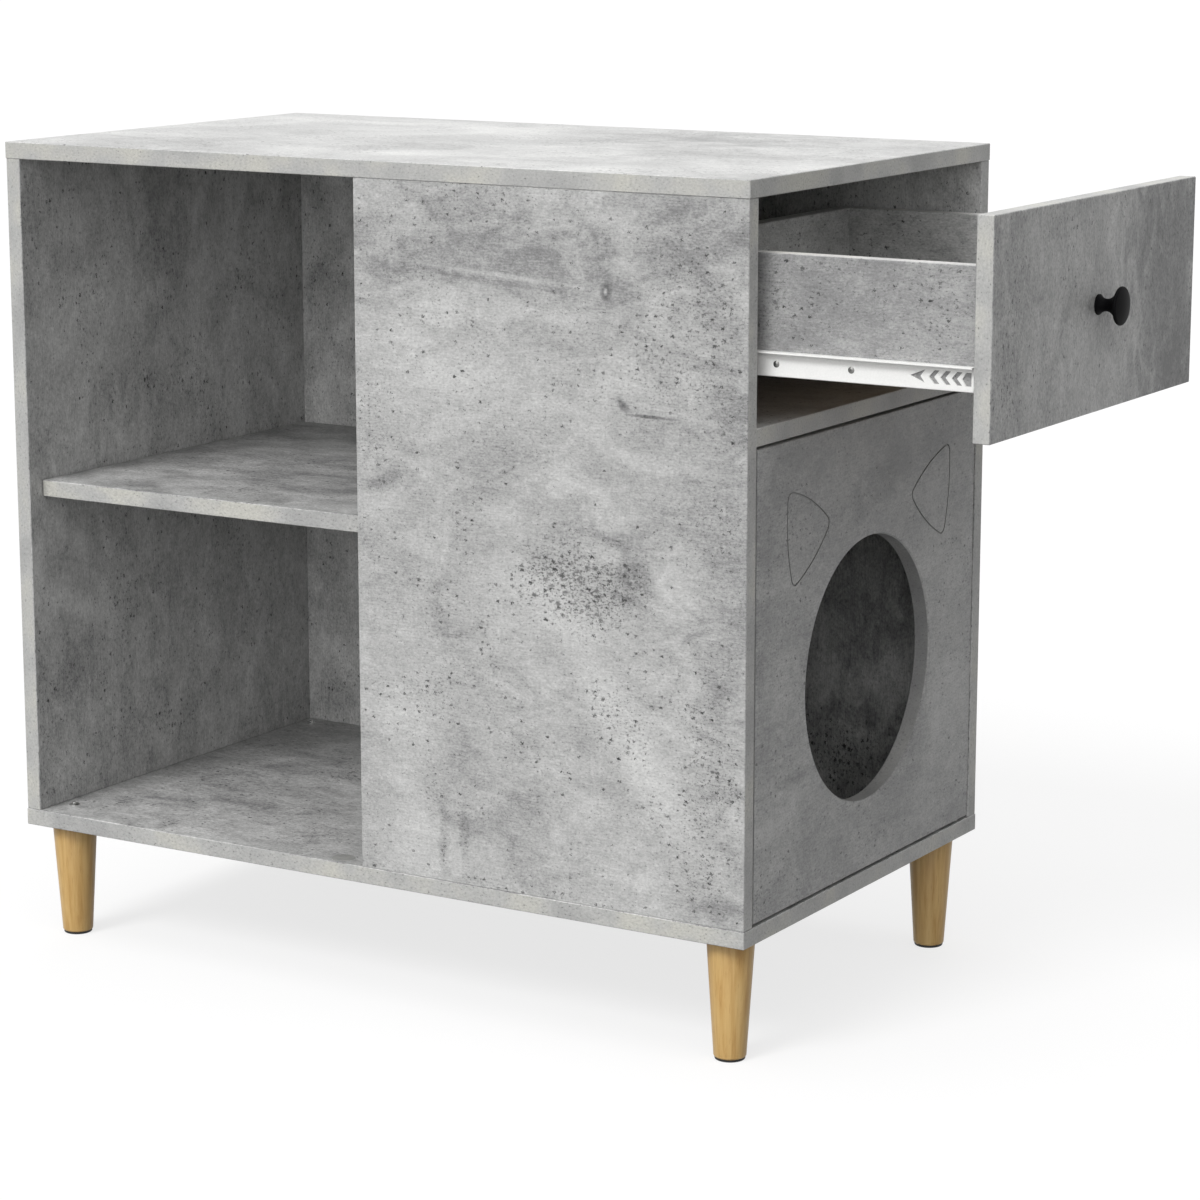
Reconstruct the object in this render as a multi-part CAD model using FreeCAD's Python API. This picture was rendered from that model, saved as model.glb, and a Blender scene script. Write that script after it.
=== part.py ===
import FreeCAD, Part
import math
import os

V = FreeCAD.Vector
X = V(1, 0, 0)
Y = V(0, 1, 0)
Z = V(0, 0, 1)

# Carcass boards, in millimetres: X towards the drawer side, Y to the back, Z up from the floor
cabinet_width = 760.0
cabinet_depth = 440.0
carcass_height = 630.0
board = 15.0
edge_reveal = 0.5
edge_break = 0.6
front_panel_width = 381.0
drawer_bay_height = 184.5
shelf_drop = 292.5
shelf_setback = 17.3
shelf_play = 0.8

# Legs, their bolts and foot pads
leg_height = 105.0
leg_top_radius = 21.0
leg_foot_radius = 14.0
leg_inset_x = 30.0
leg_inset_y = 32.0
pad_radius = 13.0
pad_height = 2.0
leg_bolt_radius = 3.0
leg_bolt_reach = 20.0
leg_bolt_head_radius = 5.0
leg_bolt_head_height = 2.6

# Shelf plugs
plug_spacing = 280.0
plug_width = 9.0
plug_reach = 9.0
plug_height = 12.0
plug_lip = 2.5

# Drawer box
drawer_side_gap = 3.0
drawer_bottom_gap = 3.3
drawer_top_gap = 4.0
drawer_side_lift = 42.6
drawer_side_height = 97.4
drawer_back_gap = 32.0
drawer_bottom_thickness = 3.0
groove_depth = 5.0
groove_lift = 8.0

# Roller runners
runner_gap = 12.5
steel = 1.2
bend_radius = 1.0
drawer_runner_height = 20.6
drawer_runner_tail = 17.0
drawer_runner_setback = 2.0
drawer_runner_foot = 10.0
drawer_runner_flange = 8.5
cabinet_runner_tail = 39.5
cabinet_runner_setback = 16.5
cabinet_runner_foot = 10.3
cabinet_runner_lip = 8.5
runner_slip = 0.7
roller_radius = 8.5
roller_width = 6.0
rolling_gap = 0.3
roller_inset = 9.0
open_roller_spacing = 79.5
axle_radius = 2.5

# Cut-outs near the front end of the drawer runner
cutout_height = 10.7
arrow_tip = 58.4
arrow_length = 13.0
arrow_notch = 4.0
chevron_tip = 42.0
chevron_pitch = 9.8
chevron_stroke = 4.4
chevron_depth = 4.6
chevron_count = 3
nose_tip = 13.6
nose_length = 8.0
nose_taper = 3.6

# Knob on the drawer front
knob_drop = 89.0
knob_base_radius = 8.5
knob_base_height = 1.6
knob_neck_radius = 4.4
knob_neck_height = 10.0
knob_head_radius = 16.0
knob_head_at = 18.6
knob_height = 23.6

# Cat door with its pivots and magnetic catch
door_gap = 2.5
cat_hole_radius = 116.0
cat_hole_drop = 20.0
cat_hole_edge = 1.2
ear_tip_out = 149.0
ear_tip_up = 175.0
ear_inner_out = 76.0
ear_inner_up = 140.0
ear_low_out = 140.0
ear_low_up = 95.0
ear_bulge = 5.0
ear_round = 6.0
ear_line = 1.6
ear_depth = 0.8
pivot_inset = 14.0
pin_radius = 2.0
pin_grip = 20.0
pin_reach = 8.0
bush_radius = 4.0
bush_depth = 10.0
catch_inset = 52.0
catch_drop = 9.5
catch_body_length = 27.0
catch_tab_length = 10.0
catch_tab_thickness = 2.6
catch_depth = 15.0
catch_height = 14.0
magnet_length = 20.0
magnet_depth = 12.0
magnet_thickness = 4.0
pole_thickness = 1.2
pole_reach = 1.6
strike_length = 40.0
strike_height = 11.0
strike_thickness = 1.0

# Clearances of bores and of close fits
hole_play = 0.2
fit_play = 0.05

# Planes and centre lines worked out from the sizes
base_bottom = pad_height + leg_height
base_top = base_bottom + board
roof_top = base_bottom + carcass_height
roof_bottom = roof_top - board
half_width = cabinet_width / 2
half_depth = cabinet_depth / 2
outer_x = half_width - edge_reveal
outer_y = half_depth - edge_reveal
inner_y = outer_y - board
left_x = board - outer_x
split_x = outer_x - front_panel_width
divider_x = split_x + board
deck_top = roof_bottom - drawer_bay_height
deck_bottom = deck_top - board
shelf_top = roof_bottom - shelf_drop
shelf_bottom = shelf_top - board
door_x = outer_x - board

nodes = {}
cuts = {}


def add(node, solid):
    """Put one more solid into a node."""
    nodes.setdefault(node, []).append(solid)


def cut(node, tool):
    """Remember a tool that is cut from a board once every fitting is placed."""
    cuts.setdefault(node, []).append(tool)


def block(x0, x1, y0, y1, z0, z1):
    """Rectangular block between two corners."""
    return Part.makeBox(x1 - x0, y1 - y0, z1 - z0, V(x0, y0, z0))


def panel(x0, x1, y0, y1, z0, z1):
    """Board whose edges are all broken by a small chamfer."""
    solid = block(x0, x1, y0, y1, z0, z1)
    return solid.makeChamfer(edge_break, solid.Edges)


def rod(point, along, radius, length):
    """Round bar or drill that starts at a point."""
    return Part.makeCylinder(radius, length, point, along)


def turned(outline, point, along):
    """Revolve an outline of (radius, height) points about a line from a point."""
    corners = [V(radius, 0, height) for radius, height in outline + outline[:1]]
    solid = Part.Face(Part.makePolygon(corners)).revolve(V(), Z, 360)
    solid.Placement = FreeCAD.Placement(point, FreeCAD.Rotation(Z, along))
    return solid


def on_side(solid, side):
    """The solid itself at the back, or its mirror image at the front."""
    return solid if side > 0 else solid.mirror(V(), Y)


# Boards of the carcass
add("top_panel", panel(-half_width, half_width, -half_depth, half_depth, roof_bottom, roof_top))
add("bottom_panel", panel(-half_width, half_width, -half_depth, half_depth, base_bottom, base_top))
add("left_side_panel", panel(-outer_x, left_x, -outer_y, outer_y, base_top, roof_bottom))
add("front_panel", panel(split_x, outer_x, -outer_y, -inner_y, base_top, roof_bottom))
add("back_panel", panel(left_x, outer_x, inner_y, outer_y, base_top, roof_bottom))
add("centre_divider", panel(split_x, divider_x, -inner_y, inner_y, base_top, roof_bottom))
add("drawer_deck", panel(divider_x, outer_x, -inner_y, inner_y, deck_bottom, deck_top))
shelf_front = shelf_setback - outer_y
shelf_left = left_x + shelf_play
shelf_right = split_x - shelf_play
add("shelf", panel(shelf_left, shelf_right, shelf_front, inner_y - shelf_play, shelf_bottom, shelf_top))

# Wedge-shaped plugs under the shelf
plug_profile = [
    V(0, 0, shelf_bottom),
    V(plug_reach, 0, shelf_bottom),
    V(plug_reach, 0, shelf_bottom - plug_lip),
    V(0, 0, shelf_bottom - plug_height),
    V(0, 0, shelf_bottom),
]
wedge = Part.Face(Part.makePolygon(plug_profile)).extrude(Y * plug_width)
for plug_y in (-plug_spacing / 2, plug_spacing / 2):
    left_plug = wedge.translated(V(left_x, plug_y - plug_width / 2, 0))
    right_plug = wedge.mirror(V(), X).translated(V(split_x, plug_y - plug_width / 2, 0))
    add("shelf_plugs", left_plug)
    add("shelf_plugs", right_plug)

# Tapered legs with pads, and bolts through the bottom panel
leg_bore = leg_bolt_radius + fit_play
bore_end = leg_bolt_reach + hole_play
leg_outline = [
    (leg_bore, 0),
    (leg_top_radius, 0),
    (leg_foot_radius, leg_height),
    (0, leg_height),
    (0, bore_end),
    (leg_bore, bore_end),
]
bolt_outline = [
    (0, -board - leg_bolt_reach),
    (leg_bolt_radius, -board - leg_bolt_reach),
    (leg_bolt_radius, 0),
    (leg_bolt_head_radius, 0),
    (leg_bolt_head_radius, leg_bolt_head_height),
    (0, leg_bolt_head_height),
]
for side_x in (-1, 1):
    for side_y in (-1, 1):
        leg_x = side_x * (half_width - leg_inset_x)
        leg_y = side_y * (half_depth - leg_inset_y)
        leg_top = V(leg_x, leg_y, base_bottom)
        bolt_seat = V(leg_x, leg_y, base_top)
        add("legs", turned(leg_outline, leg_top, -Z))
        add("leg_pads", rod(V(leg_x, leg_y, 0), Z, pad_radius, pad_height))
        add("leg_bolts", turned(bolt_outline, bolt_seat, Z))
        cut("bottom_panel", rod(leg_top, Z, leg_bolt_radius + hole_play, board))

# Drawer box, pulled out until its rollers stand as far from the cabinet's as in the rest pose
closed_back_x = divider_x + drawer_back_gap
closed_roller_x = closed_back_x + drawer_runner_tail + roller_inset
channel_front = outer_x - cabinet_runner_setback
cabinet_roller_x = channel_front - roller_inset
drawer_open = cabinet_roller_x - open_roller_spacing - closed_roller_x
front_outer_x = outer_x + drawer_open
front_inner_x = front_outer_x - board
box_back_x = closed_back_x + drawer_open
back_x = box_back_x + board
front_half_y = inner_y - drawer_side_gap
side_outer_y = inner_y - runner_gap
side_inner_y = side_outer_y - board
front_bottom = deck_top + drawer_bottom_gap
front_top = roof_bottom - drawer_top_gap
side_bottom = deck_top + drawer_side_lift
side_top = side_bottom + drawer_side_height
add("drawer_front", panel(front_inner_x, front_outer_x, -front_half_y, front_half_y, front_bottom, front_top))
add("drawer_back", panel(box_back_x, back_x, -side_inner_y, side_inner_y, side_bottom, side_top))
for row, side in (("front", -1), ("back", 1)):
    wall = panel(box_back_x, front_inner_x, side_inner_y, side_outer_y, side_bottom, side_top)
    add("drawer_side_" + row, on_side(wall, side))

sheet_bottom = side_bottom + groove_lift
sheet_top = sheet_bottom + drawer_bottom_thickness
sheet_reach = groove_depth - hole_play
sheet_half_y = side_inner_y + sheet_reach
groove_half_y = side_inner_y + groove_depth
add("drawer_bottom", block(back_x - sheet_reach, front_inner_x + sheet_reach, -sheet_half_y, sheet_half_y,
                           sheet_bottom, sheet_top))
groove = block(back_x - groove_depth, front_inner_x + groove_depth, -groove_half_y, groove_half_y,
               sheet_bottom, sheet_top + hole_play)
for name in ("drawer_front", "drawer_back", "drawer_side_front", "drawer_side_back"):
    cut(name, groove)

# Mushroom knob
knob_outline = [
    (0, 0),
    (knob_base_radius, 0),
    (knob_base_radius, knob_base_height),
    (knob_neck_radius, knob_base_height),
    (knob_neck_radius, knob_neck_height),
    (knob_head_radius, knob_head_at),
    (knob_head_radius, knob_height),
    (0, knob_height),
]
add("knob", turned(knob_outline, V(front_outer_x, 0, front_top - knob_drop), X))

# Roller runners, drawn for the back side of the drawer and mirrored to its front side
member_bottom = side_bottom - steel
member_top = member_bottom + drawer_runner_height
member_front = front_inner_x - drawer_runner_setback
member_back = box_back_x + drawer_runner_tail
web_face = side_outer_y + steel
roller_z = member_top - steel - rolling_gap - roller_radius
track_top = roller_z - roller_radius - rolling_gap
lip_bottom = member_top + runner_slip
channel_back = divider_x + cabinet_runner_tail
cutout_z = (member_bottom + member_top) / 2
half_cutout = cutout_height / 2


def rolled_section(points, x0, x1, bends):
    """Steel section of (y, z) points along X, rounded at the bends."""
    outline = [V(x0, y, z) for y, z in points + points[:1]]
    bar = Part.Face(Part.makePolygon(outline)).extrude(X * (x1 - x0))
    corners = [
        edge for edge in bar.Edges
        if edge.Length > steel + bend_radius
        and any(math.hypot(edge.CenterOfMass.y - y, edge.CenterOfMass.z - z) < steel / 2 for y, z in bends)
    ]
    return bar.makeFillet(bend_radius, corners)


def web_cutout(points):
    """Prism of (distance behind the drawer front, height) points through the drawer runner's web."""
    outline = [V(front_inner_x - x, side_outer_y, cutout_z + z) for x, z in points + points[:1]]
    return Part.Face(Part.makePolygon(outline)).extrude(Y * steel)


drawer_section = [
    (side_outer_y - drawer_runner_foot, member_bottom),
    (web_face, member_bottom),
    (web_face, member_top - steel),
    (side_outer_y + drawer_runner_flange, member_top - steel),
    (side_outer_y + drawer_runner_flange, member_top),
    (side_outer_y, member_top),
    (side_outer_y, side_bottom),
    (side_outer_y - drawer_runner_foot, side_bottom),
]
drawer_bends = [(side_outer_y, member_top), (web_face, member_bottom)]
cabinet_section = [
    (inner_y - cabinet_runner_foot, track_top - steel),
    (inner_y, track_top - steel),
    (inner_y, lip_bottom + steel),
    (inner_y - cabinet_runner_lip, lip_bottom + steel),
    (inner_y - cabinet_runner_lip, lip_bottom),
    (inner_y - steel, lip_bottom),
    (inner_y - steel, track_top),
    (inner_y - cabinet_runner_foot, track_top),
]
cabinet_bends = [(inner_y, lip_bottom + steel), (inner_y, track_top - steel)]

arrow_back = arrow_tip - arrow_length
cutouts = [
    web_cutout([
        (arrow_tip, 0),
        (arrow_back, half_cutout),
        (arrow_back + arrow_notch, 0),
        (arrow_back, -half_cutout),
    ]),
    web_cutout([
        (nose_tip, 0),
        (nose_tip - nose_taper, half_cutout),
        (nose_tip - nose_length, half_cutout),
        (nose_tip - nose_length, -half_cutout),
        (nose_tip - nose_taper, -half_cutout),
    ]),
]
for k in range(chevron_count):
    tip = chevron_tip - k * chevron_pitch
    heel = tip - chevron_depth
    cutouts.append(web_cutout([
        (tip, 0),
        (heel, half_cutout),
        (heel - chevron_stroke, half_cutout),
        (tip - chevron_stroke, 0),
        (heel - chevron_stroke, -half_cutout),
        (heel, -half_cutout),
    ]))

drawer_axle = V(member_back + roller_inset, side_outer_y, roller_z)
cabinet_axle = V(cabinet_roller_x, inner_y, roller_z)
roller_start = steel + rolling_gap
roller_end = roller_start + roller_width
roller_outline = [
    (axle_radius + fit_play, roller_start),
    (roller_radius, roller_start),
    (roller_radius, roller_end),
    (axle_radius + fit_play, roller_end),
]
axle_length = roller_end + rolling_gap
for row, side in (("front", -1), ("back", 1)):
    member = rolled_section(drawer_section, member_back, member_front, drawer_bends)
    member = member.cut(cutouts + [rod(drawer_axle, Y, axle_radius + fit_play, steel)])
    channel = rolled_section(cabinet_section, channel_back, channel_front, cabinet_bends)
    channel = channel.cut(rod(cabinet_axle, -Y, axle_radius + fit_play, steel))
    add("drawer_runner_" + row, on_side(member, side))
    add("cabinet_runner_" + row, on_side(channel, side))
    add("drawer_roller_" + row, on_side(turned(roller_outline, drawer_axle, Y), side))
    add("cabinet_roller_" + row, on_side(turned(roller_outline, cabinet_axle, -Y), side))
    add("drawer_roller_axles", on_side(rod(drawer_axle, Y, axle_radius, axle_length), side))
    add("cabinet_roller_axles", on_side(rod(cabinet_axle, -Y, axle_radius, axle_length), side))

# Cat door with its round entrance
door_half_y = inner_y - door_gap
door_bottom = base_top + door_gap
door_top = deck_bottom - door_gap
cat_hole_z = (door_bottom + door_top) / 2 - cat_hole_drop
door = panel(door_x, outer_x, -door_half_y, door_half_y, door_bottom, door_top)
door = door.cut(rod(V(door_x, 0, cat_hole_z), X, cat_hole_radius, board))
rims = [edge for edge in door.Edges if isinstance(edge.Curve, Part.Circle)]
add("cat_door", door.makeChamfer(cat_hole_edge, rims))

# Ear outlines engraved in the door: triangles with swelling sides and round corners
ear_corners = [
    V(outer_x, ear_tip_out, cat_hole_z + ear_tip_up),
    V(outer_x, ear_inner_out, cat_hole_z + ear_inner_up),
    V(outer_x, ear_low_out, cat_hole_z + ear_low_up),
]


def ear_block(margin):
    """Ear-shaped block, the overlap of three large discs, grown all round by a margin."""
    discs = []
    for start, end in zip(ear_corners, ear_corners[1:] + ear_corners[:1]):
        chord = end - start
        radius = (chord.Length**2 / 4 + ear_bulge**2) / (2 * ear_bulge)
        inward = X.cross(chord).normalize()
        centre = (start + end) / 2 + inward * (radius - ear_bulge)
        discs.append(rod(centre, -X, radius + margin, ear_depth))
    overlap = discs[0].common(discs[1]).common(discs[2])
    corners = [edge for edge in overlap.Edges if isinstance(edge.Curve, Part.Line)]
    return overlap.makeFillet(ear_round + margin, corners)


ear_groove = ear_block(ear_line).cut(ear_block(0))
for side in (-1, 1):
    cut("cat_door", on_side(ear_groove, side))

# Pivot pins in the door's ends, and the bushes that they turn in, which carry the door
pivot_x = outer_x - board / 2
pivot_y = door_half_y - pivot_inset
bush_proud = door_gap - rolling_gap
bush_outline = [
    (pin_radius + fit_play, -bush_proud),
    (bush_radius, -bush_proud),
    (bush_radius, bush_depth),
    (pin_radius + fit_play, bush_depth),
]
pin_length = pin_grip + door_gap + pin_reach
for name, end_z, seat_z, into in (
    ("bottom_panel", door_bottom, base_top, -Z),
    ("drawer_deck", door_top, deck_bottom, Z),
):
    door_end = V(pivot_x, pivot_y, end_z)
    bush_seat = V(pivot_x, pivot_y, seat_z)
    add("pivot_pins", rod(door_end - into * pin_grip, into, pin_radius, pin_length))
    add("pivot_bushes", turned(bush_outline, bush_seat, into))
    cut("cat_door", rod(door_end, -into, pin_radius + fit_play, pin_grip + hole_play))
    cut(name, rod(bush_seat, into, bush_radius + fit_play, bush_depth + hole_play))

# Magnetic catch under the deck and its strike plate on the door
strike_x = door_x - strike_thickness
pole_x = strike_x - rolling_gap
catch_front = pole_x - pole_reach
catch_back = catch_front - catch_depth
catch_y = catch_inset - door_half_y
magnet_z = deck_bottom - catch_drop
magnet_back = catch_front - magnet_depth
half_body = catch_body_length / 2
half_catch = half_body + catch_tab_length
half_magnet = magnet_length / 2
half_pocket = half_magnet + hole_play
half_thick = magnet_thickness / 2
half_stack = half_thick + pole_thickness
half_strike = strike_length / 2
half_strike_z = strike_height / 2
body = block(catch_back, catch_front, catch_y - half_body, catch_y + half_body,
             deck_bottom - catch_height, deck_bottom)
tabs = block(catch_back, catch_front, catch_y - half_catch, catch_y + half_catch,
             deck_bottom - catch_tab_thickness, deck_bottom)
pocket = block(magnet_back, catch_front, catch_y - half_pocket, catch_y + half_pocket,
               magnet_z - half_stack, magnet_z + half_stack)
add("magnetic_catch", body.fuse(tabs).cut(pocket))
add("catch_magnet", block(magnet_back, catch_front, catch_y - half_magnet, catch_y + half_magnet,
                          magnet_z - half_thick, magnet_z + half_thick))
for plate_z in (magnet_z - half_stack, magnet_z + half_thick):
    add("catch_poles", block(magnet_back, pole_x, catch_y - half_magnet, catch_y + half_magnet,
                             plate_z, plate_z + pole_thickness))
add("strike_plate", block(strike_x, door_x, catch_y - half_strike, catch_y + half_strike,
                          magnet_z - half_strike_z, magnet_z + half_strike_z))

# Drill the boards and write one file for each node
for name, tools in cuts.items():
    nodes[name] = nodes[name][0].cut(tools).Solids

os.makedirs("parts", exist_ok=True)
for name, solids in nodes.items():
    shape = solids[0] if len(solids) == 1 else Part.makeCompound(solids)
    shape.exportStep("parts/" + name + ".step")
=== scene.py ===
import math

import bmesh
import bpy
import numpy as np
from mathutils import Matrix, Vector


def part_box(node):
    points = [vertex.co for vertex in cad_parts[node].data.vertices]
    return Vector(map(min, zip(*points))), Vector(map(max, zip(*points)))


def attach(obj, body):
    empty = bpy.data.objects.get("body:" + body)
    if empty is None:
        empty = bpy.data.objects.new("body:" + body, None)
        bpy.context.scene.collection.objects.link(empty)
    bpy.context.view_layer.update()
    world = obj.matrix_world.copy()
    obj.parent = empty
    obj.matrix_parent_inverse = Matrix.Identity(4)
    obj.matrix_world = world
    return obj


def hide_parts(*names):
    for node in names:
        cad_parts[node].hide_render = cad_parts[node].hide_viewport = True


# %% [markdown]
# # A cat house cabinet
# The cabinet is flat-pack furniture: chipboard faced with a grey concrete print, four turned legs, a
# drawer on white roller runners, and a side door with a round hole for the cat. The boards and runners
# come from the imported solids, which already have the right shapes. This lesson gives them their
# finishes, and makes the small turned and rounded pieces again as smooth surfaces.

# %% Load the fixed frame
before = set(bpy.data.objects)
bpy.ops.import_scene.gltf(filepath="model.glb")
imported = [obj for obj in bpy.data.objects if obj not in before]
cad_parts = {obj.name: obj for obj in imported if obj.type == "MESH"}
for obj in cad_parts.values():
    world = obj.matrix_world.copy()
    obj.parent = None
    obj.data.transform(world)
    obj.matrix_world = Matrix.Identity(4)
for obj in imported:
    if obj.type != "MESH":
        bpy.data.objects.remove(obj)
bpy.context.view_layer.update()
MM = 0.001

# %% [markdown]
# ## Surfaces from arrays
# A turned piece is a profile carried round an axis, so its surface is a function of two parameters:
# the place along the profile and the angle. Modelling each ring by hand would also work, but whole
# arrays are shorter, and every number in the profile stays a real size in millimetres.


# %% Turn a profile about an axis
def turned(profile, foot, along, sockets=None, steps=72):
    """Rows of rings. The point at angle a is foot + height * along + radius * (cos a * side + sin a * up).

    The profile is rows of (radius, height) in mm. Where sockets has a function for a row, that row's
    radius is the function of the angle, which cuts a hexagon or a cross into a screw head.
    """
    angle = np.linspace(0, 2 * np.pi, steps, endpoint=False)
    profile = np.asarray(profile, float) * MM
    radius = np.repeat(profile[:, :1], steps, axis=1)
    for row, outline in (sockets or {}).items():
        radius[row] = outline(angle) * MM
    along = np.asarray(along, float)
    side = np.roll(along, 1)
    up = np.cross(along, side)
    ring = np.cos(angle)[:, None] * side + np.sin(angle)[:, None] * up
    return np.asarray(foot, float) + profile[:, 1, None, None] * along + radius[:, :, None] * ring


def arc(centre, radius, start, end, steps=10):
    """Profile points on a circle: centre + radius * (cos, sin), from one angle to another in degrees."""
    angle = np.radians(np.linspace(start, end, steps))
    return np.stack([centre[0] + radius * np.cos(angle), centre[1] + radius * np.sin(angle)], axis=1)


def quads(rows, columns, first, loop):
    """Corner numbers of a grid's quads. The columns go round, and the rows do too if it is a loop."""
    number = first + np.arange(rows * columns).reshape(rows, columns)
    beside = np.roll(number, -1, axis=1)
    above = np.roll(number, -1, axis=0)
    corner = np.roll(beside, -1, axis=0)
    faces = np.stack([number, beside, corner, above], axis=-1)
    return (faces if loop else faces[:-1]).reshape(-1, 4)


# %% Put grids into one mesh piece that rides on a body
SAME_POINT = 1e-7
SHARP_CORNER = 35


def grid_mesh(name, grids, loop, local):
    """Mesh of turned grids: poles merged, normals outwards, corners over SHARP_CORNER degrees sharp.

    local is added to each point and stored as the attribute turned_place.
    """
    points, faces, first = [], [], 0
    for grid in grids:
        rows, columns = grid.shape[:2]
        points.append(grid.reshape(-1, 3))
        faces.append(quads(rows, columns, first, loop))
        first += rows * columns
    points = np.concatenate(points)
    mesh = bpy.data.meshes.new(name)
    mesh.from_pydata(points.tolist(), [], np.concatenate(faces).tolist())
    if local is not None:
        place = mesh.attributes.new("turned_place", "FLOAT_VECTOR", "POINT")
        place.data.foreach_set("vector", (points + local).astype(np.float32).ravel())
    merged = bmesh.new()
    merged.from_mesh(mesh)
    bmesh.ops.remove_doubles(merged, verts=merged.verts, dist=SAME_POINT)
    bmesh.ops.recalc_face_normals(merged, faces=merged.faces)
    merged.to_mesh(mesh)
    merged.free()
    mesh.shade_smooth()
    mesh.set_sharp_from_angle(angle=math.radians(SHARP_CORNER))
    return mesh


def piece(name, grids, body, finish, stands_for=(), loop=False, local=None):
    """Piece made of turned grids that rides on a body, in place of the solids that it stands for."""
    made = bpy.data.objects.new(name, grid_mesh(name, grids, loop, local))
    bpy.context.scene.collection.objects.link(made)
    made.data.materials.append(finish)
    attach(made, body)
    if stands_for:
        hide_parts(*stands_for)


# %% [markdown]
# ## Materials from nodes
# Each finish is a small graph of nodes on the piece's own coordinates, so it needs no picture files and
# stays in place when the piece moves. Colours are written as they look on a screen and turned into
# the linear values that light is reckoned in. In the graphs, sockets 1 to 4 of a Map Range node are the
# range that it reads and the range that it gives. Sockets 0, 6 and 7 of a colour Mix node are the share
# and the two colours, and its output 2 is the mixed colour.


# %% Colours and nodes
def linear(code):
    """Linear RGBA of an sRGB hex colour, by the standard's straight foot and power curve."""
    levels = np.array([int(code[k:k + 2], 16) for k in (1, 3, 5)]) / 255
    levels = np.where(levels <= 0.04045, levels / 12.92, ((levels + 0.055) / 1.055) ** 2.4)
    return (*levels, 1.0)


def node(tree, kind, links=None, stops=None, **settings):
    """Add a node, set its properties and fill its sockets: a socket is linked and a value is stored."""
    added = tree.nodes.new(kind)
    for key, value in settings.items():
        setattr(added, key, value)
    for key, value in (links or {}).items():
        if isinstance(value, bpy.types.NodeSocket):
            tree.links.new(value, added.inputs[key])
        else:
            added.inputs[key].default_value = value
    if stops:
        ramp = added.color_ramp
        while len(ramp.elements) < len(stops):
            ramp.elements.new(0.5)
        for element, (position, code) in zip(ramp.elements, stops):
            element.position = position
            element.color = linear(code)
    return added


# %% A new material and the scale of a pattern
# Most values of a noise lie between these two
NOISE_LOW, NOISE_HIGH = 0.3, 0.7
# Height of the grain on a coat and of the sand on a board
RELIEF_DEPTH = 0.05 * MM


def blank(name):
    """New material with an empty graph, its output and its principled shader."""
    finish = bpy.data.materials.new(name)
    finish.use_nodes = True
    tree = finish.node_tree
    tree.nodes.clear()
    shader = node(tree, "ShaderNodeBsdfPrincipled")
    node(tree, "ShaderNodeOutputMaterial", {"Surface": shader.outputs["BSDF"]})
    return finish, tree, shader


def per_metre(size_mm):
    """Texture scale at which one feature is about this many millimetres wide."""
    return 1 / (size_mm * MM)


# %% [markdown]
# ## The concrete print
# Melamine-faced chipboard carries a printed paper under clear resin. Here it is printed as cast
# concrete: soft clouds, smears along the cast, fine sand, and dark pits that gather in patches. One
# image would repeat, so the print is built from noise at the size of each feature, and each board takes
# its own stretch of it. The next cells make the noises, the tone, the pits and the edge band in turn.

# %% Noises of the print
QUARTER = math.pi / 2
# Turns that lay the print on a board, by the number of the axis through it and the axis of its smears
LAY_PRINT = {
    (2, "X"): (0, 0, 0),
    (1, "X"): (QUARTER, 0, 0),
    (0, "Z"): (0, QUARTER, 0),
    (0, "Y"): (QUARTER, QUARTER, 0),
    (1, "Z"): (QUARTER, 0, QUARTER),
}
# Dimensions, stretch along the smears, size in mm, detail, roughness and distortion of each noise.
# Real sand and hair lines are too fine to show in the render, so both are drawn coarser here.
PRINT_NOISES = {
    "cloud": ("2D", 1.3, 120, 5, 0.58, 0.6),
    "smear": ("2D", 1.8, 30, 6, 0.65, 0.5),
    "mottle": ("2D", 1.4, 6, 3, 0.7, 0.0),
    "hair": ("2D", 14, 1.2, 2, 0.6, 0.0),
    "sand": ("3D", 1.5, 1.8, 2, 0.75, 0.0),
    "crowd": ("3D", 1.2, 60, 3, 0.55, 0.0),
}


def print_noises(tree, laid):
    """A noise for each feature of the print, with the place along the smears divided by its stretch."""
    noises = {}
    for layer, (flat, stretch, size, detail, roughness, warp) in PRINT_NOISES.items():
        drawn = node(tree, "ShaderNodeVectorMath", {0: laid, 1: (1 / stretch, 1, 1)},
                     operation="MULTIPLY").outputs[0]
        noises[layer] = node(tree, "ShaderNodeTexNoise", {
            "Vector": drawn, "Scale": per_metre(size), "Detail": detail,
            "Roughness": roughness, "Distortion": warp}, noise_dimensions=flat).outputs[0]
    return noises


# %% Tone of the print and crowding of its pits
CONCRETE_TONES = [
    (0.0, "#5f5f5f"), (0.3, "#8b8b8b"), (0.5, "#a9a9a8"), (0.7, "#c0c0bf"), (1.0, "#dcdcda"),
]
SWINGS = {"smear": 0.55, "mottle": 0.28, "sand": 0.6, "hair": 0.2}
CROWD_LOW, CROWD_HIGH = 0.4, 0.7
FEWEST_PITS, MOST_PITS = 0.04, 0.45
RAGGED = 1.2
PATCH_OUTSIDE, PATCH_INSIDE = 1.8, 0.8
ALL_THROUGH = 1000.0


def tone_and_crowding(tree, noises, cloudy, worn, painted_light_lift):
    """Tone is 0.5 + painted light and shade + the sum of swing * (noise - 0.5). Crowding is the share of
    cells with pits.
    """
    swings = {"cloud": cloudy, **{layer: swing * worn for layer, swing in SWINGS.items()}}
    level = 0.5 + painted_light_lift - sum(swings.values()) / 2
    for layer, swing in swings.items():
        level = node(tree, "ShaderNodeMath", {0: noises[layer], 1: swing, 2: level},
                     operation="MULTIPLY_ADD").outputs[0]
    crowding = node(tree, "ShaderNodeMapRange", {
        0: noises["crowd"], 1: CROWD_LOW, 2: CROWD_HIGH, 3: FEWEST_PITS, 4: MOST_PITS}).outputs[0]
    return level, crowding


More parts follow.
